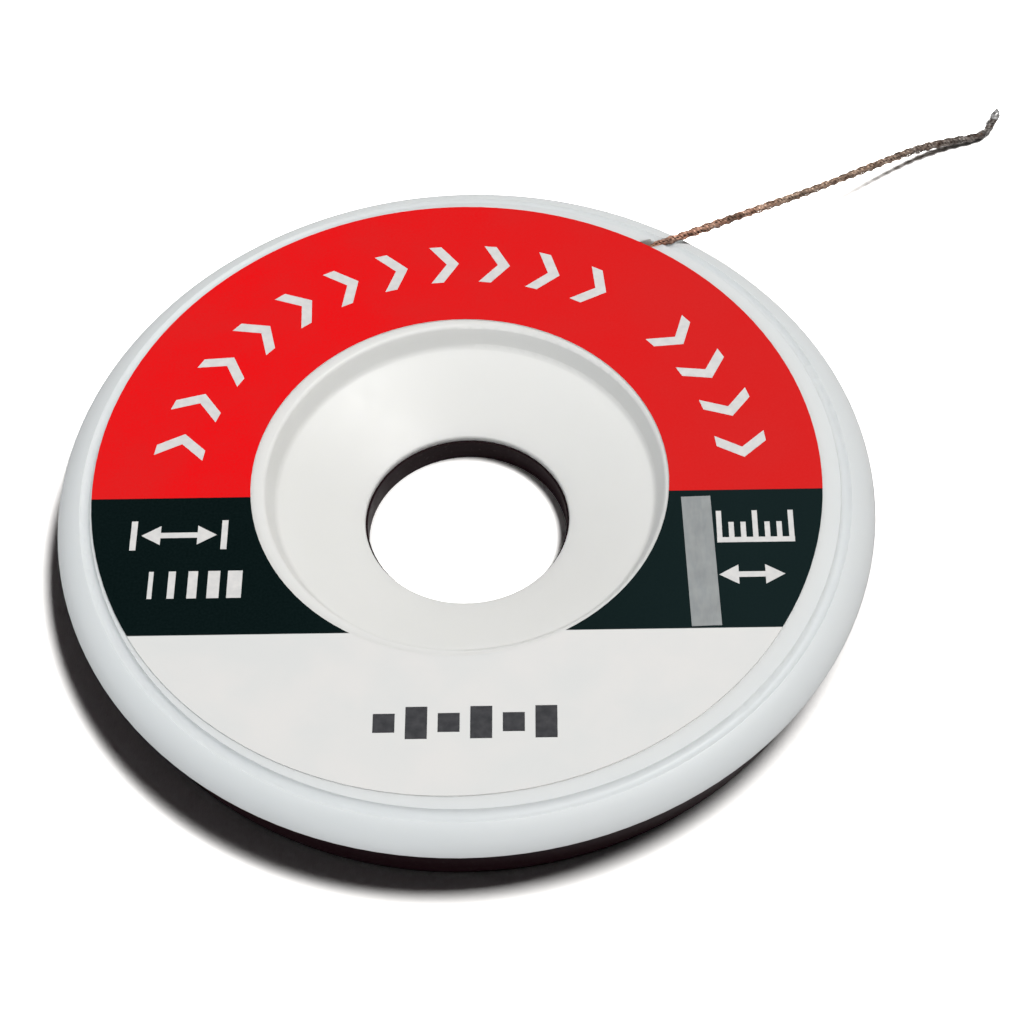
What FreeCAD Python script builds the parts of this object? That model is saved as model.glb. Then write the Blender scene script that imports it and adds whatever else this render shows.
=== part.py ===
"""A flat dispenser for thin copper desoldering braid, in millimetres.

A dark base and a white cover snap together round a reel that turns inside them. The braid leaves
through a slot in the cover's rim and its free end lies on the bench. Z is up and the origin is
the middle of the base's underside. The label's arc of red faces +Y.
"""
import FreeCAD, Part
import math
import os

from FreeCAD import Vector

# Overall sizes
disc_dia = 54.0            # across the cover's rim
land_height = 6.3          # bench to the flat land that carries the label
hole_dia = 13.4            # finger hole through the base's hub

# Base
base_inset = 0.7           # how far the cover's rim stands out past the base's wall
base_wall = 1.25
base_floor = 1.0
base_draft = 0.7           # the wall draws in this much on its way down
base_edge_radius = 0.3
hub_wall = 1.2
hub_height = 1.65
relief_depth = 0.25        # the underside stands on its hub and its rim
hub_foot_width = 1.1
rim_foot_width = 2.4

# Cover
cover_wall = 1.1
rim_depth = 1.95           # land down to the seam with the base
rim_edge = 0.25            # from the seam up to the rim's widest place
rim_tuck = 0.2             # the rim draws in this much on its way down to the seam
rim_width = 2.4            # from the land's edge out to the rim
rim_drop = 0.3             # the rim's crown under the land
rim_fullness = 0.59        # of its rounding, where a quarter circle has 0.707
groove_width = 0.75
groove_depth = 0.42
groove_bottom = 0.45       # share of the width from the land to the deepest point
land_in_dia = 26.4         # where the land ends and the sunk hub begins
step_in = 0.6              # run of the steep step into the hub
step_drop = 1.5
step_round = 0.3
foot_round = 0.6
lip_round = 0.2
lip_ledge = 0.15           # base's hub shows this much inside the cover's lip
lip_height = 0.4
collar_wall = 0.75
collar_clearance = 0.075   # round the base's hub
collar_floor_gap = 0.15
land_corner = 0.5          # the land's inner face starts this far outside the step
hub_corner = 0.7           # and the sunk hub's this far outside the step's foot
hold_down_width = 0.8      # rib under the cover that keeps the reel down
hold_down_height = 0.5

# Snap joint between the two shells
skirt_wall = 1.0
skirt_clearance = 0.15
skirt_depth = 1.6
skirt_lead = 0.15
bead_height = 0.2
bead_rise = 0.3            # half of its width up the skirt
bead_place = 0.6           # its middle over the skirt's lower edge
bead_clearance = 0.08
key_count = 3
key_width = 2.0
key_depth = 0.5            # into the skirt
key_reach = 0.8            # up beside the skirt
key_clearance = 0.1

# Reel
bearing_gap = 0.6          # the ring that the reel turns on stands this far outside the sunk hub
bearing_wall = 1.0
bearing_headroom = 0.45    # under the sunk hub
running_clearance = 0.08   # between the bearing ring and the reel
axial_clearance = 0.15     # under and over the reel
drum_wall = 0.92
flange_overhang = 2.1      # past the wound braid
flange_thickness = 0.5
slit_width = 0.8

# Braid
braid_dia = 0.6
winding_depth = 1.6        # of wound braid on the drum
bead_tip_dia = 0.78
bead_tip_length = 0.7

# Exit slot
slot_clearance = 0.08      # each side of the braid
slot_floor_gap = 0.1       # how far the slot's floor lies under the cover's inner face

# Label
label_thickness = 0.1
label_in_margin = 0.22     # least width of bare land inside the label
label_out_margin = 0.02    # and outside it
label_offset = -0.33       # its inner edge lies off centre, towards -X
label_out_offset = (-0.55, 0.25)   # and its outer edge isn't cut concentric with that
block_top = -1.2           # the dark blocks' edges, in Y from the label's centre
block_low = -11.95
strip_width = 1.9
strip_thickness = 0.06
strip_place = 15.22        # middle of the clear strip, in X
strip_turn = 1.6           # degrees off the label's Y
strip_top_gap = 0.53       # from the dark block's upper edge
strip_low_gap = 0.15

# The braid's centre line, from the winding through the slot to the bench. The slot is cut
# along it from the point slot_from to the point slot_to.
route = [
    (-3.9, 16.5, 2.85),
    (0.7, 17.6, 2.87),
    (5.2, 18.5, 3.35),
    (9.6, 19.6, 4.75),
    (13.4, 20.7, 6.0),
    (16.5, 21.95, 6.05),
    (20.0, 24.2, 5.3),
    (24.6, 27.6, 3.7),
    (29.4, 31.3, 2.2),
    (33.3, 34.1, 1.2),
    (36.1, 35.5, 0.55),
    (38.5, 36.1, 0.36),
    (39.5, 37.15, 0.5),
    (39.8, 38.0, 0.75),
]
slot_from = 3
slot_to = 5
bend_share = 0.45          # of the shorter run, taken by each bend

# Places that follow from the sizes above
rim_r = disc_dia / 2
hole_r = hole_dia / 2
base_r = rim_r - base_inset
bore_wall_r = hole_r + hub_wall
wall_in_r = base_r - base_wall
skirt_r = wall_in_r - skirt_clearance
parting_height = land_height - rim_depth
inner_height = land_height - cover_wall
skirt_low = parting_height - skirt_depth
bead_mid = skirt_low + bead_place
key_high = skirt_low + key_reach
land_r = rim_r - rim_width
step_r = land_in_dia / 2
foot_r = step_r - step_in
foot_z = land_height - step_drop
lip_r = hole_r + lip_ledge
lip_top = hub_height + lip_height
hub_slope = (foot_z - lip_top) / (foot_r - lip_r)
hub_drop = cover_wall * math.sqrt(1 + hub_slope ** 2)
hub_back_r = foot_r + hub_corner
bearing_r = hub_back_r + bearing_gap
reel_bore_r = bearing_r + running_clearance
drum_r = reel_bore_r + drum_wall
winding_r = drum_r + winding_depth
flange_r = winding_r + flange_overhang
reel_low = base_floor + axial_clearance
reel_high = inner_height - hold_down_height - axial_clearance
winding_low = reel_low + flange_thickness
winding_high = reel_high - flange_thickness
braid_r = braid_dia / 2


def turned(start, *moves):
    """A solid of revolution about Z. Each move is a point (r, z), or (via, to) for an arc."""
    edges = []
    here = Vector(start[0], 0, start[1])
    for move in moves + (start,):
        if isinstance(move[0], tuple):
            via, there = [Vector(r, 0, z) for r, z in move]
            edges.append(Part.Arc(here, via, there).toShape())
        else:
            there = Vector(move[0], 0, move[1])
            edges.append(Part.LineSegment(here, there).toShape())
        here = there
    face = Part.Face(Part.Wire(edges))
    return face.revolve(Vector(0, 0, 0), Vector(0, 0, 1), 360)


def bend_at(before, corner, after, radius):
    """Start, middle and end of the arc that takes a line round a corner."""
    back = (before - corner).normalize()
    ahead = (after - corner).normalize()
    half_turn = (math.pi - back.getAngle(ahead)) / 2
    reach = radius * math.tan(half_turn)
    via = corner + (back + ahead).normalize() * (radius / math.cos(half_turn) - radius)
    return corner + back * reach, via, corner + ahead * reach


def rounded(before, corner, after, radius):
    """The two moves that take a profile of points (r, z) round a corner."""
    places = [Vector(r, 0, z) for r, z in (before, corner, after)]
    first, via, last = bend_at(*places, radius)
    return (first.x, first.z), ((via.x, via.z), (last.x, last.z))


def tube_ring(inner_r, outer_r, low, high):
    """A plain ring about Z."""
    return turned((inner_r, low), (outer_r, low), (outer_r, high), (inner_r, high))


def keys(width, inner_r, outer_r, low, high):
    """Blocks set round the wall, which keep the cover from turning on the base."""
    block = Part.makeBox(outer_r - inner_r, width, high - low, Vector(inner_r, -width / 2, low))
    blocks = []
    for index in range(key_count):
        copy = block.copy()
        copy.rotate(Vector(0, 0, 0), Vector(0, 0, 1), 360 / key_count * index)
        blocks.append(copy)
    return Part.makeCompound(blocks)


def hub_underside(radius):
    """Height of the sunk hub's inner face."""
    return lip_top + hub_slope * (radius - lip_r) - hub_drop


def make_base():
    """Dark lower shell: floor, outer wall, hub round the hole and the ring the reel turns on."""
    bearing_in_r = bearing_r - bearing_wall
    bearing_top = hub_underside(bearing_in_r) - bearing_headroom
    foot_edge_r = base_r - base_draft
    edge = base_edge_radius
    corner = edge * (1 - math.sqrt(0.5))
    relief_in_r = bore_wall_r + hub_foot_width
    relief_out_r = foot_edge_r - rim_foot_width
    groove_r = wall_in_r + bead_height - skirt_clearance + bead_clearance
    body = turned(
        (hole_r, 0),
        (relief_in_r, 0),
        (relief_in_r, relief_depth),
        (relief_out_r, relief_depth),
        (relief_out_r, 0),
        (foot_edge_r - edge, 0),
        ((foot_edge_r - corner, corner), (foot_edge_r, edge)),
        (base_r, parting_height),
        (wall_in_r, parting_height),
        (wall_in_r, bead_mid + bead_rise),
        (groove_r, bead_mid),
        (wall_in_r, bead_mid - bead_rise),
        (wall_in_r - base_draft / 2, base_floor),
        (bearing_r, base_floor),
        (bearing_r, bearing_top),
        (bearing_in_r, bearing_top),
        (bearing_in_r, base_floor),
        (bore_wall_r, base_floor),
        (bore_wall_r, hub_height),
        (hole_r, hub_height),
    )
    # the keys grow out of the wall and the floor, so they start inside both
    lug_out_r = wall_in_r + (base_wall - base_draft) / 2
    lugs = keys(key_width, skirt_r - key_depth, lug_out_r, base_floor / 2, key_high)
    return body.fuse(lugs.Solids).removeSplitter()


def make_cover():
    """White upper shell: land, grooved and rounded rim, hub sunk to the hole, snap skirt."""
    crown_z = land_height - rim_drop
    crown_r = land_r + groove_width
    shoulder_z = parting_height + rim_edge
    collar_in_r = bore_wall_r + collar_clearance
    collar_out_r = collar_in_r + collar_wall
    collar_low = base_floor + collar_floor_gap
    rib_in_r = drum_r + hold_down_width
    rib_low = inner_height - hold_down_height
    rim_via_r = crown_r + (rim_r - crown_r) * rim_fullness
    rim_via_z = shoulder_z + (crown_z - shoulder_z) * rim_fullness
    land_edge = (land_r, land_height)
    step_top = (step_r, land_height)
    step_foot = (foot_r, foot_z)
    lip_edge = (lip_r, lip_top)
    lip_foot = (lip_r, hub_height)
    body = turned(
        (rim_r - rim_tuck, parting_height),
        (rim_r, shoulder_z),
        ((rim_via_r, rim_via_z), (crown_r, crown_z)),
        ((land_r + groove_width * groove_bottom, land_height - groove_depth), land_edge),
        *rounded(land_edge, step_top, step_foot, step_round),
        *rounded(step_top, step_foot, lip_edge, foot_round),
        *rounded(step_foot, lip_edge, lip_foot, lip_round),
        lip_foot,
        (collar_in_r, hub_height),
        (collar_in_r, collar_low),
        (collar_out_r, collar_low),
        (collar_out_r, hub_underside(collar_out_r)),
        (hub_back_r, hub_underside(hub_back_r)),
        (step_r + land_corner, inner_height),
        (rib_in_r, inner_height),
        (rib_in_r, rib_low),
        (rib_in_r + hold_down_width, rib_low),
        (rib_in_r + hold_down_width, inner_height),
        (skirt_r - skirt_wall, inner_height),
        (skirt_r - skirt_wall, skirt_low),
        (skirt_r - skirt_clearance, skirt_low),
        (skirt_r, skirt_low + skirt_lead),
        (skirt_r, bead_mid - bead_rise),
        (skirt_r + bead_height, bead_mid),
        (skirt_r, bead_mid + bead_rise),
        (skirt_r, parting_height),
    )
    key_room = keys(
        key_width + 2 * key_clearance,
        skirt_r - skirt_wall - key_clearance,
        skirt_r + bead_height + key_clearance,
        skirt_low - key_clearance,
        key_high + key_clearance,
    )
    return body.cut(key_room.Solids + [slot_space()]).removeSplitter()


def slot_space():
    """The channel that the braid runs in, open upwards, along its own route."""
    half = braid_r + slot_clearance
    floor = inner_height - slot_floor_gap
    height = land_height - floor + cover_wall
    points = [Vector(x, y, floor) for x, y, z in route[slot_from:slot_to + 1]]
    # the last run goes on past the rim
    points[-1] = points[-1] + (points[-1] - points[-2]).normalize() * rim_r
    pieces = [Part.makeCylinder(half, height, points[0])]
    for near, far in zip(points, points[1:]):
        pieces.append(Part.makeCylinder(half, height, far))
        run = far - near
        box = Part.makeBox(run.Length, 2 * half, height, Vector(0, -half, 0))
        box.rotate(Vector(0, 0, 0), Vector(0, 0, 1), math.degrees(math.atan2(run.y, run.x)))
        box.translate(near)
        pieces.append(box)
    return pieces[0].fuse(pieces[1:])


def make_reel():
    """Flanged reel with a slit in its drum for the braid's inner end."""
    body = turned(
        (reel_bore_r, reel_low),
        (flange_r, reel_low),
        (flange_r, winding_low),
        (drum_r, winding_low),
        (drum_r, winding_high),
        (flange_r, winding_high),
        (flange_r, reel_high),
        (reel_bore_r, reel_high),
    )
    corner = Vector(reel_bore_r - slit_width / 2, -slit_width / 2, winding_low)
    slit = Part.makeBox(drum_wall + slit_width, slit_width, winding_high - winding_low, corner)
    return body.cut(slit)


def make_winding():
    """The wound braid, which fills the drum between the flanges."""
    return tube_ring(drum_r, winding_r, winding_low, winding_high)


def bent_path(points):
    """Straight runs joined by tangent arcs, and the radius of each bend."""
    edges = []
    radii = []
    here = points[0]
    for before, corner, after in zip(points, points[1:], points[2:]):
        shorter = min((before - corner).Length, (after - corner).Length)
        half_turn = (corner - before).getAngle(after - corner) / 2
        radius = bend_share * shorter / math.tan(half_turn)
        first, via, last = bend_at(before, corner, after, radius)
        edges.append(Part.LineSegment(here, first).toShape())
        edges.append(Part.Arc(first, via, last).toShape())
        radii.append(radius)
        here = last
    edges.append(Part.LineSegment(here, points[-1]).toShape())
    return Part.Wire(edges), radii


def make_tail():
    """The braid from the winding, through the slot, to its end on the bench."""
    points = [Vector(*place) for place in route]
    path, radii = bent_path(points)
    section = Part.Wire(Part.makeCircle(braid_r, points[0], points[1] - points[0]))
    tube = path.makePipeShell([section], True, False)
    expected = math.pi * braid_r ** 2 * path.Length
    print("braid tail length %.2f, volume %.4f against %.4f" % (path.Length, tube.Volume, expected))
    print("bend radii " + ", ".join("%.1f" % radius for radius in radii))
    return tube


def make_tip():
    """The bead of solder that keeps the braid's end from fraying."""
    end = Vector(*route[-1])
    along = (end - Vector(*route[-2])).normalize()
    radius = bead_tip_dia / 2
    body = Part.makeCylinder(radius, bead_tip_length, end, along)
    cap = Part.makeSphere(radius, end + along * bead_tip_length)
    return body.fuse(cap).removeSplitter()


def make_label():
    """The printed ring stuck on the cover's land."""
    inner_r = step_r + label_in_margin + abs(label_offset)
    outer_r = land_r - label_out_margin - math.hypot(*label_out_offset)
    disc = Part.makeCylinder(outer_r, label_thickness, Vector(*label_out_offset, land_height))
    return disc.cut(Part.makeCylinder(inner_r, label_thickness, Vector(label_offset, 0, land_height)))


def make_strip():
    """A clear strip stuck across the right-hand block of the label."""
    top = block_top - strip_top_gap
    low = block_low + strip_low_gap
    corner = Vector(-strip_width / 2, (low - top) / 2, 0)
    strip = Part.makeBox(strip_width, top - low, strip_thickness, corner)
    strip.rotate(Vector(0, 0, 0), Vector(0, 0, 1), strip_turn)
    strip.translate(Vector(strip_place, (top + low) / 2, land_height + label_thickness))
    return strip


def save(name, shape):
    """Writes one piece, after a look at whether it is one sound solid."""
    solid = shape.Solids[0]
    print("%-14s solids %d valid %s volume %.3f" % (name, len(shape.Solids), solid.isValid(), solid.Volume))
    solid.exportStep("parts/%s.step" % name)


os.makedirs("parts", exist_ok=True)
save("base_shell", make_base())
save("cover_shell", make_cover())
save("reel", make_reel())
save("braid_winding", make_winding())
save("braid_tail", make_tail())
save("tinned_tip", make_tip())
save("front_label", make_label())
save("tape_strip", make_strip())
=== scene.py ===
"""Looks of the braid spool: finishes, printed label, woven braid, floor, lights and camera.

Lengths are in metres, in the part's own frame: Z is up and the origin is in the middle of the
base's underside. Colours are linear.
"""
import itertools
import math

import bpy
import numpy as np

from mathutils import Matrix, Vector


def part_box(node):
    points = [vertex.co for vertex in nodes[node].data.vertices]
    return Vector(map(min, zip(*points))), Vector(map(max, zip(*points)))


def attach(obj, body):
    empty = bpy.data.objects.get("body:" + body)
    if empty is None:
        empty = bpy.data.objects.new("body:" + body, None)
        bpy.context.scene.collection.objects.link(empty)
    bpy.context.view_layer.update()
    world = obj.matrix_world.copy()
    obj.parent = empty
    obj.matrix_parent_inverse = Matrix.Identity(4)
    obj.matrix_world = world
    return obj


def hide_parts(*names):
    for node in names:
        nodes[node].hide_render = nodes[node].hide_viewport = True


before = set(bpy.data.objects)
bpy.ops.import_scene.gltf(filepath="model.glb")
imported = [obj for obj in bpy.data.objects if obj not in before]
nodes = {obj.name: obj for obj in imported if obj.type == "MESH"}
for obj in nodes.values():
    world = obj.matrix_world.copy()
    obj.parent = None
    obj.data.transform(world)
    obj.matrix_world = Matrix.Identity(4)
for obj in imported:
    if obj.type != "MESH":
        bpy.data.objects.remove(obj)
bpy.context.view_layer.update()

MM = 0.001

# The braid's centre line: control points of a smooth spline, from the winding to the bench
ROUTE = [
    (-0.0039, 0.0165, 0.00285),
    (0.0007, 0.0176, 0.00287),
    (0.0052, 0.0185, 0.00335),
    (0.0096, 0.0196, 0.00475),
    (0.0134, 0.0207, 0.0060),
    (0.0165, 0.02195, 0.00605),
    (0.0200, 0.0242, 0.0053),
    (0.0246, 0.0276, 0.0037),
    (0.0294, 0.0313, 0.0022),
    (0.0333, 0.0341, 0.0012),
    (0.0361, 0.0355, 0.00055),
    (0.0385, 0.0361, 0.00036),
    (0.0395, 0.03715, 0.0005),
    (0.0398, 0.0380, 0.00075),
]

# The braid's make-up
BRAID_DIAMETER = 0.6 * MM
WIRE_RADIUS = 0.03 * MM
WIRE_SPACING = 0.062 * MM
WIRES_PER_CARRIER = 4
CARRIERS = 4               # in each direction
LAY_LENGTH = 2.1 * MM      # one turn of a carrier
WEAVE_LIFT = 0.03 * MM     # over and under
FLATTENING = 0.08 * MM     # how much less its half thickness is than its half width
TWIST_LENGTH = 1.9 * MM    # one turn of the flattened braid
WIRE_STEP = 0.088 * MM     # between the points along a wire
WIRE_SIDES = 5
STRAY = 0.006 * MM         # how far a wire wanders from its place
STRAY_LENGTH = 0.83 * MM   # along the braid, for one radian of its wandering
STRAY_SHIFT = 2.4          # radians from one wire's wandering to the next
SWELLS = ((0.05, 3.1 * MM, 0), (0.03, 1.17 * MM, 1))   # share, length of a radian, first radian
NECK_START = 0.93          # share of the length where the weave begins to draw in
NECK = 0.1                 # share by which it draws in towards the solder
CORE_RADIUS = 0.15 * MM
CORE_STEP = 3 * WIRE_STEP
CORE_SIDES = 10

# The lump of solder on the braid's end
LUMP_START = -0.5 * MM     # from the braid's end
LUMP_END = 0.5 * MM
LUMP_RADIUS = 0.33 * MM
LUMP_ARC = (0.16, 0.985)   # shares of a half wave between which its outline lies
LUMP_BLUNTNESS = 0.62
LUMP_WAVES = ((0.07, 2, 5), (0.05, 5, -9))   # share, waves round it, radians along it
LUMP_STEPS = 22
LUMP_SIDES = 24

# The cut wires that poke out of the solder
STUBS = 9
STUB_TURN = 2.4            # radians round the end from one to the next
STUB_ROOT = 9 * WIRE_RADIUS    # ahead of the braid's end
STUB_SPREAD = 8 * WIRE_RADIUS
STUB_LEAN = (0.08, 0.05)   # of the first, and how much more for each next
STUB_REACH = (9 * WIRE_RADIUS, 6 * WIRE_RADIUS)    # shortest, and the spread above it
STUB_BEND = 0.2
STUB_TAPER = 0.75
STUB_POINTS = 6
STUB_SIDES = 6

# The braid on the reel: turns side by side, as ridges
DRUM_RADIUS = 14.9 * MM
RIDGE_DEPTH = 0.12 * MM
RIDGE_STEPS = 8
WINDING_SIDES = 180

# Label, with its origin on the hole's axis
RED_EDGE = -1.2 * MM       # the red lies above this, in Y
DARK_EDGE = -11.95 * MM    # and the dark blocks between the two
PAPER_TOP = (-0.03 * MM, -0.01 * MM)   # from the label's top, where the cut edge turns into print
PRINT_BLUR = 0.02 * MM
SHEEN_SPAN = (-12 * MM, 18 * MM)     # painted sheen: the print goes lighter and greyer between these, in X
INK = 0.015 * MM           # thickness of a printed mark

# White and grey marks, in the label's own frame
PRINT_X = -0.33 * MM       # of that frame's origin in the part
ARC_RADIUS = 18.8 * MM     # middle of the row of chevrons
ARC_MARKS = ((170.5, 61.0, 11), (39.5, 7.5, 4))   # first angle, last angle, count
CHEVRON_HEIGHT = 3.3 * MM
CHEVRON_WIDTH = 2.0 * MM
CHEVRON_STROKE = 0.85 * MM
ARROW_HEAD = 1.25 * MM
ARROW_STROKE = 0.42 * MM
WIDTH_ARROW = (-18.15 * MM, -4.2 * MM, 4.9 * MM)   # x, y, length
STOP_X = (-21.1 * MM, -15.2 * MM)
STOP_SIZE = (0.4 * MM, 2.3 * MM)
BARS = 5                   # of growing width, under the width arrow
FIRST_BAR = (-19.7 * MM, -8.1 * MM)
BAR_STEP = 1.35 * MM
BAR_WIDTH = (0.3 * MM, 0.16 * MM)      # of the first, and how much more for each next
BAR_HEIGHT = 2.1 * MM
RULER = (19.15 * MM, -5.2 * MM, 5.0 * MM, 0.4 * MM)    # x, y, width, height
TICKS = 7
FIRST_TICK = (16.83 * MM, -5.0 * MM)   # of its foot
TICK_STEP = 0.773 * MM
TICK_WIDTH = 0.34 * MM
LONG_TICK = 2.1 * MM       # every third one
SHORT_TICK = 1.2 * MM
LENGTH_ARROW = (18.75 * MM, -7.9 * MM, 4.2 * MM)   # x, y, length
BLOCKS = 6                 # on the bare white part
FIRST_BLOCK = (-4.45 * MM, -18.6 * MM)
BLOCK_STEP = 2.0 * MM
BLOCK_SIDE = 1.35 * MM
TALL_BLOCK = 1.7           # height of every second one, as a share of its width

# Camera, fitted to the photograph's rim, label and hole
CAMERA_PLACE = (0.00638, -0.09812, 0.13796)
CAMERA_AZIMUTH = 1.96
CAMERA_ELEVATION = 54.04
CAMERA_ROLL = 2.46
CAMERA_LENS = 87.89
SENSOR_WIDTH = 36.0

# Soft boxes: name, azimuth from +X towards +Y, elevation, distance, side, watts, colour, lights the floor
LAMPS = (
    ("key", 10, 68.5, 1.5, 0.45, 18.6, (1.0, 0.985, 0.965), True),
    ("top", 200, 75, 1.5, 1.4, 4.0, (0.95, 0.98, 1.0), False),
    ("front", -112, 15, 1.2, 0.4, 3.5, (0.97, 0.985, 1.0), False),
    ("left", 175, 20, 1.2, 0.6, 2.2, (0.97, 0.985, 1.0), False),
)
WORLD_FILL = 0.002         # strength, where the world isn't seen or mirrored
FLOOR_SIZE = 0.9           # from the middle to a side
FLOOR_DROP = 0.05 * MM
FLOOR_GREY = (0.28, 0.28, 0.275)   # as it lights the part
FLOOR_MIRRORED = 1.3
FLOOR_SEEN = 5.5           # white to the camera in the key lamp's light
PAINTED_SHADE_REACH = 8 * MM      # of the painted shade that darkens the floor close to the part
PAINTED_SHADE_DEPTH = 2.0


class Tree:
    """The node tree of a material or a world, written as nested calls."""

    def __init__(self, owner):
        self.owner = owner
        owner.use_nodes = True
        self.tree = owner.node_tree
        self.tree.nodes.clear()

    def node(self, kind, inputs=None, output=0, **settings):
        made = self.tree.nodes.new(kind)
        for name, value in settings.items():
            setattr(made, name, value)
        for key, value in (inputs or {}).items():
            if isinstance(value, bpy.types.NodeSocket):
                self.tree.links.new(value, made.inputs[key])
            else:
                made.inputs[key].default_value = value
        return made.outputs[output] if made.outputs else None

    def place(self):
        return self.node("ShaderNodeTexCoord", output="Object")

    def axes(self):
        """The place's X, Y and Z."""
        split = self.tree.nodes.new("ShaderNodeSeparateXYZ")
        self.tree.links.new(self.place(), split.inputs[0])
        return split.outputs

    def rays(self):
        """What kind of ray meets the surface."""
        return self.tree.nodes.new("ShaderNodeLightPath").outputs

    def math(self, operation, *values):
        return self.node("ShaderNodeMath", dict(enumerate(values)), operation=operation)

    def blend(self, factor, low, high):
        """A colour that goes from low to high."""
        inputs = {"Factor": factor, 6: low, 7: high}
        return self.node("ShaderNodeMix", inputs, output=2, data_type="RGBA")

    def ramp(self, value, low, high, to_low=0.0, to_high=1.0):
        ends = {"From Min": low, "From Max": high, "To Min": to_low, "To Max": to_high}
        return self.node("ShaderNodeMapRange", {"Value": value, **ends})

    def noise(self, size, detail=3.0, place=None):
        """Cloudy values about 0.5, with features of this size."""
        inputs = {"Vector": place or self.place(), "Scale": 1 / size, "Detail": detail}
        return self.node("ShaderNodeTexNoise", inputs)

    def bump(self, height, distance, normal=None):
        inputs = {"Height": height, "Distance": distance, "Strength": 1.0}
        if normal:
            inputs["Normal"] = normal
        return self.node("ShaderNodeBump", inputs)

    def finish(self, **inputs):
        """Ends a material in a Principled shader. Names have _ for a space."""
        named = {name.replace("_", " "): value for name, value in inputs.items()}
        surface = self.node("ShaderNodeBsdfPrincipled", named)
        self.node("ShaderNodeOutputMaterial", {"Surface": surface})
        return self.owner


def new_material(name):
    return Tree(bpy.data.materials.new(name))


def opaque(red, green, blue):
    return (red, green, blue, 1.0)


def grey(level):
    return (level, level, level, 1.0)


def cover_plastic():
    """Glossy white moulding with a mould's faint ripple; the rim is given a darker, bluer colour than the
    hub, as painted shade.
    """
    s = new_material("cover_plastic")
    flat = s.node("ShaderNodeVectorMath", {0: s.place(), 1: (1.0, 1.0, 0.0)}, operation="MULTIPLY")
    away = s.node("ShaderNodeVectorMath", {0: flat}, output="Value", operation="LENGTH")
    clouds = s.noise(9 * MM, 2.0)
    hub = s.blend(clouds, opaque(0.775, 0.785, 0.77), opaque(0.80, 0.80, 0.785))
    # Painted shade: the rim's colour is darker and bluer than the hub's, for the shade on the sloping rim.
    rim = s.blend(clouds, opaque(0.70, 0.735, 0.75), opaque(0.735, 0.76, 0.77))
    ripple = s.bump(s.noise(3.5 * MM, 2.0), 0.012 * MM)
    grain = s.bump(s.noise(0.12 * MM, 2.0), 0.0006 * MM, ripple)
    return s.finish(
        Base_Color=s.blend(s.ramp(away, 22 * MM, 25 * MM), hub, rim),
        Roughness=s.ramp(s.noise(1.6 * MM), 0.3, 0.7, 0.38, 0.45),
        Subsurface_Weight=0.6,
        Subsurface_Radius=(1.0, 1.0, 0.95),
        Subsurface_Scale=1.0 * MM,
        Specular_IOR_Level=0.3,
        Normal=grain,
    )


def base_plastic():
    """Dark brown-black with a dull shine and a little dust: painted shade, for the shade and shadow under the
    rim and in the hole.
    """
    s = new_material("base_plastic")
    clouds = s.noise(6 * MM, 3.0)
    dust = s.ramp(s.noise(0.22 * MM, 3.0), 0.6, 0.72, 0.0, 0.8)
    grain = s.bump(s.noise(0.1 * MM, 3.0), 0.0015 * MM)
    # Painted shade: the base's dark colour stands in for the shade and shadow seen under the rim and in the
    # hole.
    painted_shade = s.blend(clouds, opaque(0.0075, 0.0022, 0.0035), opaque(0.012, 0.0042, 0.006))
    return s.finish(
        Base_Color=s.blend(dust, painted_shade, opaque(0.026, 0.019, 0.018)),
        Roughness=s.ramp(s.noise(0.9 * MM), 0.3, 0.7, 0.4, 0.52),
        Specular_IOR_Level=0.05,
        Normal=grain,
    )


def reel_plastic():
    """Plain unpolished white moulding."""
    s = new_material("reel_plastic")
    grain = s.bump(s.noise(0.15 * MM, 3.0), 0.003 * MM)
    return s.finish(
        Base_Color=s.blend(s.noise(5 * MM), opaque(0.68, 0.68, 0.66), opaque(0.76, 0.76, 0.74)),
        Roughness=0.5,
        Normal=grain,
    )


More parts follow.
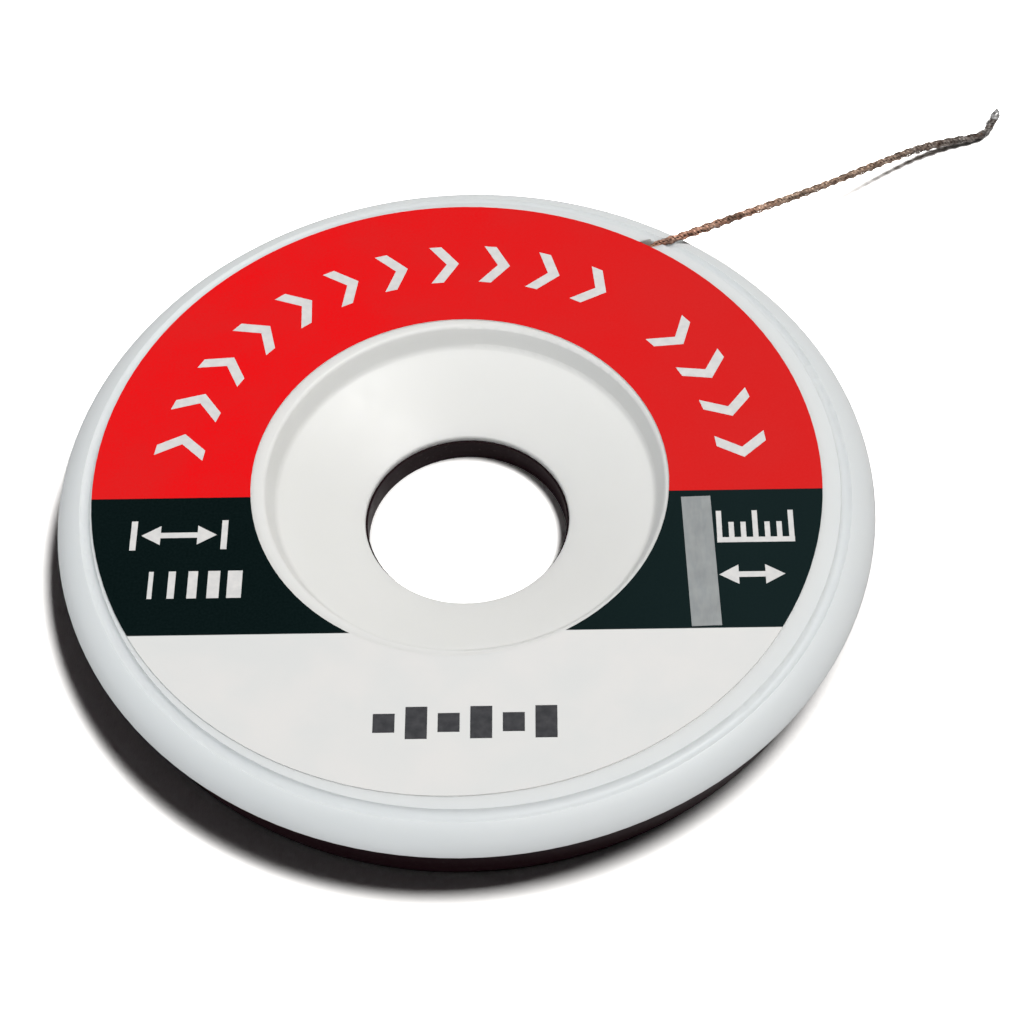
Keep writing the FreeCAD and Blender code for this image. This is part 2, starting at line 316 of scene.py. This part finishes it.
def label_paper(top):
    """Printed glossy paper: red over two dark blocks over bare white, with a white cut edge. The print has a
    painted sheen towards +X.
    """
    s = new_material("label_paper")
    axes = s.axes()
    in_red = s.ramp(axes["Y"], RED_EDGE - PRINT_BLUR, RED_EDGE + PRINT_BLUR)
    in_dark = s.ramp(axes["Y"], DARK_EDGE - PRINT_BLUR, DARK_EDGE + PRINT_BLUR)
    on_top = s.ramp(axes["Z"], top + PAPER_TOP[0], top + PAPER_TOP[1])
    clouds = s.ramp(s.noise(4 * MM, 4.0), 0.35, 0.65)
    specks = s.ramp(s.noise(0.16 * MM, 2.0), 0.3, 0.7)
    # Painted sheen: the red and the dark blocks go lighter and greyer towards +X, as the light's sheen on the
    # glossy print.
    painted_sheen = s.ramp(axes["X"], *SHEEN_SPAN)
    red = s.blend(painted_sheen, opaque(0.87, 0.005, 0.008), opaque(0.70, 0.015, 0.015))
    red = s.blend(s.math("MULTIPLY", clouds, 0.35), red, opaque(0.66, 0.022, 0.021))
    red = s.blend(s.math("MULTIPLY", specks, 0.3), red, opaque(0.70, 0.03, 0.028))
    dark = s.blend(painted_sheen, opaque(0.0006, 0.0045, 0.0045), opaque(0.006, 0.0145, 0.015))
    dark = s.blend(s.math("MULTIPLY", specks, 0.25), dark, opaque(0.010, 0.020, 0.021))
    white = s.blend(clouds, opaque(0.79, 0.785, 0.775), opaque(0.755, 0.765, 0.76))
    colour = s.blend(in_dark, white, dark)
    colour = s.blend(in_red, colour, red)
    colour = s.blend(on_top, opaque(0.78, 0.77, 0.75), colour)
    waves = s.bump(s.noise(5 * MM, 2.0), 0.02 * MM)
    fibres = s.bump(s.noise(0.2 * MM, 3.0), 0.0012 * MM, waves)
    return s.finish(
        Base_Color=colour,
        Roughness=s.ramp(clouds, 0.0, 1.0, 0.36, 0.44),
        Specular_IOR_Level=0.02,
        Normal=fibres,
    )


def ink(name, dark, light):
    """Printed ink, a little uneven."""
    s = new_material(name)
    patches = s.ramp(s.noise(0.5 * MM, 3.0), 0.3, 0.7)
    return s.finish(
        Base_Color=s.blend(patches, opaque(*dark), opaque(*light)),
        Roughness=0.42,
        Specular_IOR_Level=0.1,
    )


def clear_tape():
    """Clear tape, gone milky with trapped air, so that the print under it greys."""
    s = new_material("clear_tape")
    drawn = s.node("ShaderNodeMapping", {0: s.place(), "Scale": (1.0, 0.28, 1.0)})
    streaks = s.ramp(s.noise(0.3 * MM, 3.0, drawn), 0.3, 0.7)
    trapped = s.ramp(s.noise(1.6 * MM, 2.0), 0.35, 0.65)
    creases = s.bump(s.noise(0.5 * MM, 3.0, drawn), 0.015 * MM)
    return s.finish(
        Base_Color=s.blend(streaks, opaque(0.60, 0.64, 0.655), opaque(0.69, 0.72, 0.725)),
        Roughness=0.32,
        Alpha=s.ramp(trapped, 0.0, 1.0, 0.45, 0.52),
        Specular_IOR_Level=0.4,
        Normal=creases,
    )


def braid_copper():
    """Copper wires: redder by the case, dulled further out, dark and grey where solder has run in."""
    s = new_material("braid_copper")
    along = s.node("ShaderNodeAttribute", output="Fac", attribute_name="along")
    raised = s.node("ShaderNodeAttribute", output="Fac", attribute_name="raised")
    patches = s.ramp(s.noise(0.7 * MM, 3.0), 0.35, 0.65)
    fresh = s.blend(patches, opaque(0.33, 0.165, 0.11), opaque(0.57, 0.35, 0.26))
    brown = s.blend(patches, opaque(0.185, 0.12, 0.085), opaque(0.41, 0.30, 0.23))
    soldered = s.blend(patches, opaque(0.07, 0.06, 0.055), opaque(0.26, 0.25, 0.24))
    uneven = s.math("MULTIPLY_ADD", s.noise(3 * MM, 2.0), 0.24, -0.12)
    share = s.math("ADD", along, uneven)
    colour = s.blend(s.ramp(share, 0.40, 0.62), fresh, brown)
    colour = s.blend(s.ramp(share, 0.80, 0.93), colour, soldered)
    stains = s.ramp(s.noise(0.8 * MM, 1.0), 0.52, 0.62, 0.0, 0.6)
    colour = s.blend(stains, colour, opaque(0.06, 0.04, 0.03))
    # Darker where a wire dives under another: painted shade there, with some flux and oxide.
    sunk = s.ramp(raised, -1.0, 0.6, 0.75, 0.0)
    colour = s.blend(sunk, colour, opaque(0.035, 0.022, 0.016))
    return s.finish(
        Base_Color=colour,
        Metallic=0.85,
        Roughness=s.ramp(patches, 0.0, 1.0, 0.5, 0.34),
    )


def shaded_copper():
    """Darker copper, as painted shade between the woven wires and between the turns on the reel."""
    s = new_material("braid_core")
    patches = s.noise(0.3 * MM, 3.0)
    return s.finish(
        Base_Color=s.blend(patches, opaque(0.05, 0.022, 0.012), opaque(0.12, 0.06, 0.035)),
        Metallic=0.6,
        Roughness=0.6,
    )


def dull_solder():
    """Frozen solder, grey and a little grainy."""
    s = new_material("dull_solder")
    patches = s.ramp(s.noise(0.25 * MM, 3.0), 0.35, 0.65)
    pits = s.bump(s.noise(0.12 * MM, 3.0), 0.01 * MM)
    return s.finish(
        Base_Color=s.blend(patches, opaque(0.08, 0.075, 0.07), opaque(0.36, 0.36, 0.36)),
        Metallic=0.85,
        Roughness=s.ramp(patches, 0.0, 1.0, 0.5, 0.34),
        Normal=pits,
    )


def dress(piece, material):
    piece.data.materials.clear()
    piece.data.materials.append(material)


def dress_node(name, material):
    for slot in nodes[name].material_slots:
        slot.material = material


def add_piece(name, mesh, material, body):
    """A new piece that rides on a body, dressed in the given material."""
    piece = bpy.data.objects.new(name, mesh)
    bpy.context.scene.collection.objects.link(piece)
    dress(piece, material)
    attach(piece, body)
    return piece


def flat_mesh(name, points, faces):
    mesh = bpy.data.meshes.new(name)
    mesh.from_pydata([tuple(point) for point in points], [], faces)
    mesh.update()
    return mesh


def smooth_mesh(name, points, faces):
    mesh = flat_mesh(name, points, faces)
    mesh.shade_smooth()
    return mesh


def spline_line():
    """Points down the middle of the tail, read from the route's smooth spline."""
    data = bpy.data.curves.new("route", "CURVE")
    data.dimensions = "3D"
    data.resolution_u = 32
    spline = data.splines.new("NURBS")
    spline.points.add(len(ROUTE) - 1)
    for point, place in zip(spline.points, ROUTE):
        point.co = (*place, 1)
    spline.order_u = 3
    spline.use_endpoint_u = True
    holder = bpy.data.objects.new("route", data)
    mesh = bpy.data.meshes.new_from_object(holder)
    line = np.array([vertex.co for vertex in mesh.vertices])
    bpy.data.meshes.remove(mesh)
    bpy.data.curves.remove(data)
    return line


def spaced(line, step):
    """The line again with evenly spaced points, and how far along it each lies."""
    runs = np.linalg.norm(np.diff(line, axis=0), axis=1)
    along = np.concatenate([[0], np.cumsum(runs)])
    at = np.linspace(0, along[-1], int(along[-1] / step) + 1)
    return np.stack([np.interp(at, along, line[:, axis]) for axis in range(3)], axis=1), at


def frames_along(points):
    """Unit vectors along a line and across it, which turn as little as they can."""
    ahead = np.gradient(points, axis=0)
    ahead /= np.linalg.norm(ahead, axis=1)[:, None]
    side = np.empty_like(ahead)
    side[0] = np.cross((0, 0, 1), ahead[0])
    for index in range(len(points)):
        before = side[max(index - 1, 0)]
        across = before - ahead[index] * before.dot(ahead[index])
        side[index] = across / np.linalg.norm(across)
    return ahead, side, np.cross(ahead, side)


def tube_rings(points, radius, sides, side, over):
    """Rings of points round a line. radius is one number or one for each point."""
    turns = (np.arange(sides) * 2 * math.pi / sides)[None, :, None]
    radius = np.broadcast_to(radius, len(points))[:, None, None]
    way = np.cos(turns) * side[:, None] + np.sin(turns) * over[:, None]
    return points[:, None] + radius * way


def add_tube(points, faces, rings):
    """Adds a tube with closed ends to lists of points and faces."""
    start = len(points)
    count, sides = rings.shape[:2]
    points.extend(rings.reshape(-1, 3))
    for ring in range(count - 1):
        low = start + ring * sides
        for index in range(sides):
            after = (index + 1) % sides
            faces.append((low + index, low + after, low + sides + after, low + sides + index))
    last = start + (count - 1) * sides
    faces.append(tuple(start + index for index in reversed(range(sides))))
    faces.append(tuple(last + index for index in range(sides)))


def wire_map(mesh, wires, rings):
    """A map for baking: each wire is a strip that runs the whole width of the picture."""
    layer = mesh.uv_layers.new(name="OFBake")
    corners = []
    for wire in range(wires):
        for ring in range(rings - 1):
            near = ring / (rings - 1)
            far = (ring + 1) / (rings - 1)
            for index in range(WIRE_SIDES):
                low = (wire + (index + 0.5) / (WIRE_SIDES + 1)) / wires
                high = (wire + (index + 1.5) / (WIRE_SIDES + 1)) / wires
                corners += [near, low, near, high, far, high, far, low]
        # the wire's two flat ends are small rounds at the strip's ends
        for end in (0.0, 1.0):
            for index in range(WIRE_SIDES):
                turn = 2 * math.pi * index / WIRE_SIDES
                from_end = 0.001 + 0.001 * math.cos(turn)
                across = wire + 0.5 + 0.2 * math.sin(turn)
                corners += [abs(end - from_end), across / wires]
    layer.uv.foreach_set("vector", corners)


def add_values(mesh, name, values):
    """Gives each point of a mesh a number that its material can read."""
    mesh.attributes.new(name, "FLOAT", "POINT").data.foreach_set("value", values)


def braid_frame(line):
    """The braid's middle, how far along it each point lies, and its broad and its thin way."""
    centre, along = spaced(line, WIRE_STEP)
    ahead, side, over = frames_along(centre)
    twist = (2 * math.pi * along / TWIST_LENGTH)[:, None]
    broad = np.cos(twist) * side + np.sin(twist) * over
    return centre, along, broad, np.cross(ahead, broad)


def braid_fullness(along):
    """The weave is a little fuller in places, and draws in towards the solder."""
    swells = sum(size * np.sin(along / length + shift) for size, length, shift in SWELLS)
    drawn_in = np.clip((along / along[-1] - NECK_START) / (1 - NECK_START), 0, 1)
    return (1 + swells) * (1 - NECK * drawn_in)


def woven_wires(line):
    """Wires of the braid: carriers run both ways round it and pass over and under each other."""
    centre, along, broad, thin = braid_frame(line)
    fullness = braid_fullness(along)
    weave = np.cos(2 * math.pi * CARRIERS * along / LAY_LENGTH)
    reach = BRAID_DIAMETER / 2 - WIRE_RADIUS
    wires = list(itertools.product((1, -1), range(CARRIERS), range(WIRES_PER_CARRIER)))
    points = []
    faces = []
    lifts = []
    for number, (way, carrier, wire) in enumerate(wires):
        stray = STRAY * np.sin(along / STRAY_LENGTH + STRAY_SHIFT * number)
        offset = (wire - (WIRES_PER_CARRIER - 1) / 2) * WIRE_SPACING + stray
        turn = 2 * math.pi * (carrier / CARRIERS + way * along / LAY_LENGTH) + offset / reach
        lift = way * WEAVE_LIFT * weave
        to_broad = ((reach + lift) * fullness + stray) * np.cos(turn)
        to_thin = ((reach - FLATTENING + lift) * fullness + stray) * np.sin(turn)
        path = centre + to_broad[:, None] * broad + to_thin[:, None] * thin
        out = np.cos(turn)[:, None] * broad + np.sin(turn)[:, None] * thin
        across = np.cross(np.gradient(path, axis=0), out)
        across /= np.linalg.norm(across, axis=1)[:, None]
        add_tube(points, faces, tube_rings(path, WIRE_RADIUS, WIRE_SIDES, out, across))
        lifts.append(np.repeat(way * weave, WIRE_SIDES))
    mesh = smooth_mesh("braid_wires", points, faces)
    add_values(mesh, "along", np.tile(np.repeat(along / along[-1], WIRE_SIDES), len(wires)))
    add_values(mesh, "raised", np.concatenate(lifts))
    wire_map(mesh, len(wires), len(centre))
    return mesh


def core_tube(line):
    """A dark tube that fills the braid, so that nothing shows through it: painted shade inside the braid."""
    centre, _ = spaced(line, CORE_STEP)
    _, side, over = frames_along(centre)
    points = []
    faces = []
    add_tube(points, faces, tube_rings(centre, CORE_RADIUS, CORE_SIDES, side, over))
    return smooth_mesh("braid_core", points, faces)


def solder_lump(end, ahead, side, over):
    """Rings of points round the lump, which is uneven and narrows towards both ends."""
    rings = []
    for step in range(LUMP_STEPS + 1):
        share = step / LUMP_STEPS
        place = LUMP_START + share * (LUMP_END - LUMP_START)
        arc = min(LUMP_ARC[0] + (1 - LUMP_ARC[0]) * share, LUMP_ARC[1])
        radius = LUMP_RADIUS * math.sin(math.pi * arc) ** LUMP_BLUNTNESS
        ring = []
        for index in range(LUMP_SIDES):
            turn = 2 * math.pi * index / LUMP_SIDES
            lumps = sum(size * math.sin(waves * turn + twist * share) for size, waves, twist in LUMP_WAVES)
            out = (side * math.cos(turn) + over * math.sin(turn)) * radius * (1 + lumps)
            ring.append(end + ahead * place + out)
        rings.append(ring)
    return np.array(rings)


def cut_wire(number, end, ahead, side, over):
    """Rings of points round one cut wire, which leans out of the solder and bends over."""
    turn = STUB_TURN * number
    lean = (side * math.cos(turn) + over * math.sin(turn)) * (STUB_LEAN[0] + STUB_LEAN[1] * number)
    reach = STUB_REACH[0] + STUB_REACH[1] * (number * 5 % STUBS) / (STUBS - 1)
    root = end + ahead * STUB_ROOT + lean * STUB_SPREAD
    share = np.linspace(0, 1, STUB_POINTS)[:, None]
    path = np.array(root) + reach * (np.array(ahead + lean) * share + np.array(over) * STUB_BEND * share ** 2)
    _, out, up = frames_along(path)
    radius = WIRE_RADIUS * np.linspace(1.0, STUB_TAPER, STUB_POINTS)
    return tube_rings(path, radius, STUB_SIDES, out, up)


def solder_tip(line):
    """A lump of solder on the braid's end, with the cut wires poking out of it."""
    end = Vector(line[-1])
    ahead = Vector(line[-1] - line[-6]).normalized()
    side = ahead.cross(Vector((0, 0, 1))).normalized()
    over = ahead.cross(side)
    points = []
    faces = []
    add_tube(points, faces, solder_lump(end, ahead, side, over))
    for number in range(STUBS):
        add_tube(points, faces, cut_wire(number, end, ahead, side, over))
    return smooth_mesh("solder_tip", points, faces)


def winding_profile():
    """Half of the winding's cross-section, as points (r, z): ridges outside and flat elsewhere."""
    low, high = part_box("braid_winding")
    turns = int((high.z - low.z) / BRAID_DIAMETER + 0.5)
    pitch = (high.z - low.z) / turns
    ridges = []
    for turn in range(turns):
        for step in range(RIDGE_STEPS):
            share = step / RIDGE_STEPS
            depth = RIDGE_DEPTH * (1 - math.sin(math.pi * share))
            ridges.append((high.x - depth, low.z + pitch * (turn + share)))
    return [(DRUM_RADIUS, low.z)] + ridges + [(high.x - RIDGE_DEPTH, high.z), (DRUM_RADIUS, high.z)]


def lathe(name, profile, steps):
    """A solid of revolution about Z from a closed profile of points (r, z)."""
    points = []
    faces = []
    count = len(profile)
    for step in range(steps):
        turn = 2 * math.pi * step / steps
        for radius, height in profile:
            points.append((radius * math.cos(turn), radius * math.sin(turn), height))
    for step in range(steps):
        this = step * count
        after = (step + 1) % steps * count
        for index in range(count):
            ahead = (index + 1) % count
            faces.append((this + index, after + index, after + ahead, this + ahead))
    return smooth_mesh(name, points, faces)


class Print:
    """Flat marks on the label's face, all in one mesh."""

    def __init__(self, height):
        self.points = []
        self.faces = []
        self.height = height

    def shape(self, outline, place, turn=0.0):
        """Adds a mark with this outline, anticlockwise, turned and moved from the label's middle."""
        start = len(self.points)
        count = len(outline)
        for z in (self.height, self.height + INK):
            for x, y in outline:
                px = PRINT_X + place[0] + x * math.cos(turn) - y * math.sin(turn)
                py = place[1] + x * math.sin(turn) + y * math.cos(turn)
                self.points.append((px, py, z))
        self.faces.append(tuple(start + index for index in reversed(range(count))))
        self.faces.append(tuple(start + count + index for index in range(count)))
        for index in range(count):
            low = start + index
            after = start + (index + 1) % count
            self.faces.append((low, after, count + after, count + low))

    def bar(self, x, y, width, height):
        half_width = width / 2
        half_height = height / 2
        corners = ((-1, -1), (1, -1), (1, 1), (-1, 1))
        self.shape([(half_width * a, half_height * b) for a, b in corners], (x, y))

    def arrow(self, x, y, length):
        """A double-headed arrow along X."""
        neck = length / 2 - ARROW_HEAD
        thin = ARROW_STROKE / 2
        wide = ARROW_HEAD * 0.6
        right = [(neck, -wide), (length / 2, 0), (neck, wide), (neck, thin)]
        left = [(-a, -b) for a, b in right]
        self.shape([(neck, -thin)] + right + [(-neck, thin)] + left, (x, y))

    def mesh(self, name):
        return flat_mesh(name, self.points, self.faces)


def add_chevrons(marks):
    """Two rows of chevrons round the red arc, pointing the way that the clock goes."""
    tip = CHEVRON_WIDTH / 2
    tall = CHEVRON_HEIGHT / 2
    inner = CHEVRON_STROKE - tip
    chevron = [(-tip, -tall), (inner, -tall), (tip, 0), (inner, tall), (-tip, tall), (-inner, 0)]
    for first, last, count in ARC_MARKS:
        for index in range(count):
            angle = math.radians(first + (last - first) * index / (count - 1))
            place = (ARC_RADIUS * math.cos(angle), ARC_RADIUS * math.sin(angle))
            marks.shape(chevron, place, angle - math.pi / 2)


def add_width_sign(marks):
    """An arrow between two stops, over a row of bars that grow wider."""
    for x in STOP_X:
        marks.bar(x, WIDTH_ARROW[1], *STOP_SIZE)
    marks.arrow(*WIDTH_ARROW)
    for index in range(BARS):
        width = BAR_WIDTH[0] + BAR_WIDTH[1] * index
        marks.bar(FIRST_BAR[0] + index * BAR_STEP, FIRST_BAR[1], width, BAR_HEIGHT)


def add_length_sign(marks):
    """A ruler over a long arrow."""
    marks.bar(*RULER)
    for index in range(TICKS):
        tick = SHORT_TICK if index % 3 else LONG_TICK
        x = FIRST_TICK[0] + index * TICK_STEP
        marks.bar(x, FIRST_TICK[1] + tick / 2, TICK_WIDTH, tick)
    marks.arrow(*LENGTH_ARROW)


def white_marks(height):
    """Chevrons on the red, and plain width and length signs on the dark blocks."""
    marks = Print(height)
    add_chevrons(marks)
    add_width_sign(marks)
    add_length_sign(marks)
    return marks.mesh("white_marks")


def grey_marks(height):
    """A row of low and tall blocks on the bare white part."""
    marks = Print(height)
    for index in range(BLOCKS):
        tall = BLOCK_SIDE * (TALL_BLOCK if index % 2 else 1.0)
        marks.bar(FIRST_BLOCK[0] + index * BLOCK_STEP, FIRST_BLOCK[1], BLOCK_SIDE, tall)
    return marks.mesh("grey_marks")


def add_camera():
    angles = (CAMERA_AZIMUTH, CAMERA_ELEVATION, CAMERA_ROLL)
    azimuth, elevation, roll = (math.radians(angle) for angle in angles)
    level = Vector((math.cos(azimuth), math.sin(azimuth), 0))
    ahead = Vector((-math.sin(azimuth), math.cos(azimuth), 0)) * math.cos(elevation)
    ahead.z = -math.sin(elevation)
    steep = ahead.cross(level)
    right = level * math.cos(roll) + steep * math.sin(roll)
    down = steep * math.cos(roll) - level * math.sin(roll)
    data = bpy.data.cameras.new("camera")
    data.lens = CAMERA_LENS
    data.sensor_width = SENSOR_WIDTH
    data.clip_start = 0.001
    camera = bpy.data.objects.new("camera", data)
    bpy.context.scene.collection.objects.link(camera)
    turn = Matrix((right, -down, -ahead)).transposed().to_4x4()
    camera.matrix_world = Matrix.Translation(CAMERA_PLACE) @ turn
    bpy.context.scene.camera = camera


def add_lamp(name, azimuth, elevation, distance, size, power, colour):
    """A square soft box that looks at the part."""
    data = bpy.data.lights.new(name, "AREA")
    data.size = size
    data.energy = power
    data.color = colour
    lamp = bpy.data.objects.new(name, data)
    bpy.context.scene.collection.objects.link(lamp)
    a = math.radians(azimuth)
    e = math.radians(elevation)
    way = Vector((math.cos(a) * math.cos(e), math.sin(a) * math.cos(e), math.sin(e)))
    lamp.location = way * distance
    lamp.rotation_euler = way.to_track_quat("Z", "Y").to_euler()
    return lamp


def add_lamps(floor):
    """Only the key lamp lights the floor, so that the part throws one shadow."""
    spared = bpy.data.collections.new("spared")
    spared.objects.link(floor)
    spared.collection_objects[0].light_linking.link_state = "EXCLUDE"
    for *settings, lights_floor in LAMPS:
        lamp = add_lamp(*settings)
        if not lights_floor:
            lamp.light_linking.receiver_collection = spared


def floor_material():
    """Pale grey where it lights the part, white in mirrors, and white to the camera but for the shadow, which
    a painted shade deepens close to the part.
    """
    s = new_material("floor")
    path = s.rays()
    mirrored = s.math("MAXIMUM", path["Is Glossy Ray"], path["Is Transmission Ray"])
    colour = s.blend(mirrored, opaque(*FLOOR_GREY), grey(FLOOR_MIRRORED))
    # Painted shade: to the camera the floor darkens close to the part, by ambient occlusion.
    open_sky = s.node("ShaderNodeAmbientOcclusion", {"Distance": PAINTED_SHADE_REACH}, output="AO", samples=16)
    seen = s.blend(s.math("POWER", open_sky, PAINTED_SHADE_DEPTH), grey(0.0), grey(FLOOR_SEEN))
    colour = s.blend(path["Is Camera Ray"], colour, seen)
    paper = s.node("ShaderNodeBsdfDiffuse", {"Color": colour})
    s.node("ShaderNodeOutputMaterial", {"Surface": paper})
    return s.owner


def add_floor():
    corners = [(-1, -1), (1, -1), (1, 1), (-1, 1)]
    points = [(FLOOR_SIZE * x, FLOOR_SIZE * y, -FLOOR_DROP) for x, y in corners]
    floor = bpy.data.objects.new("floor", flat_mesh("floor", points, [(0, 1, 2, 3)]))
    bpy.context.scene.collection.objects.link(floor)
    dress(floor, floor_material())
    return floor


def set_world():
    """White where it is seen or mirrored. Elsewhere it gives next to no light."""
    world = bpy.data.worlds.new("studio")
    bpy.context.scene.world = world
    s = Tree(world)
    path = s.rays()
    seen = s.math("MAXIMUM", path["Is Camera Ray"], path["Is Glossy Ray"])
    seen = s.math("MAXIMUM", seen, path["Is Transmission Ray"])
    fill = s.node("ShaderNodeBackground", {"Color": opaque(0.93, 0.97, 1.0), "Strength": WORLD_FILL})
    white = s.node("ShaderNodeBackground", {"Color": grey(1.0)})
    mix = s.node("ShaderNodeMixShader", {0: seen, 1: fill, 2: white})
    s.node("ShaderNodeOutputWorld", {"Surface": mix})


add_camera()

copper = braid_copper()
shade_copper = shaded_copper()
line = spline_line()
wires = add_piece("braid_wires", woven_wires(line), copper, "case")
core = add_piece("braid_core", core_tube(line), shade_copper, "case")
tip = add_piece("solder_tip", solder_tip(line), dull_solder(), "case")
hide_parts("braid_tail")
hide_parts("tinned_tip")

dress_node("cover_shell", cover_plastic())
dress_node("base_shell", base_plastic())
dress_node("reel", reel_plastic())
label_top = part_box("front_label")[1].z
dress_node("front_label", label_paper(label_top))
dress_node("tape_strip", clear_tape())

# The wound braid takes the painted-shade copper all over.
turns = lathe("wound_braid", winding_profile(), WINDING_SIDES)
winding = add_piece("wound_braid", turns, shade_copper, "reel")
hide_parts("braid_winding")

white_ink = ink("white_ink", (0.66, 0.66, 0.66), (0.76, 0.75, 0.74))
grey_ink = ink("grey_ink", (0.035, 0.036, 0.04), (0.06, 0.06, 0.065))
add_piece("white_marks", white_marks(label_top), white_ink, "case")
add_piece("grey_marks", grey_marks(label_top), grey_ink, "case")

floor = add_floor()
set_world()
add_lamps(floor)
bpy.context.scene.view_settings.view_transform = "Standard"
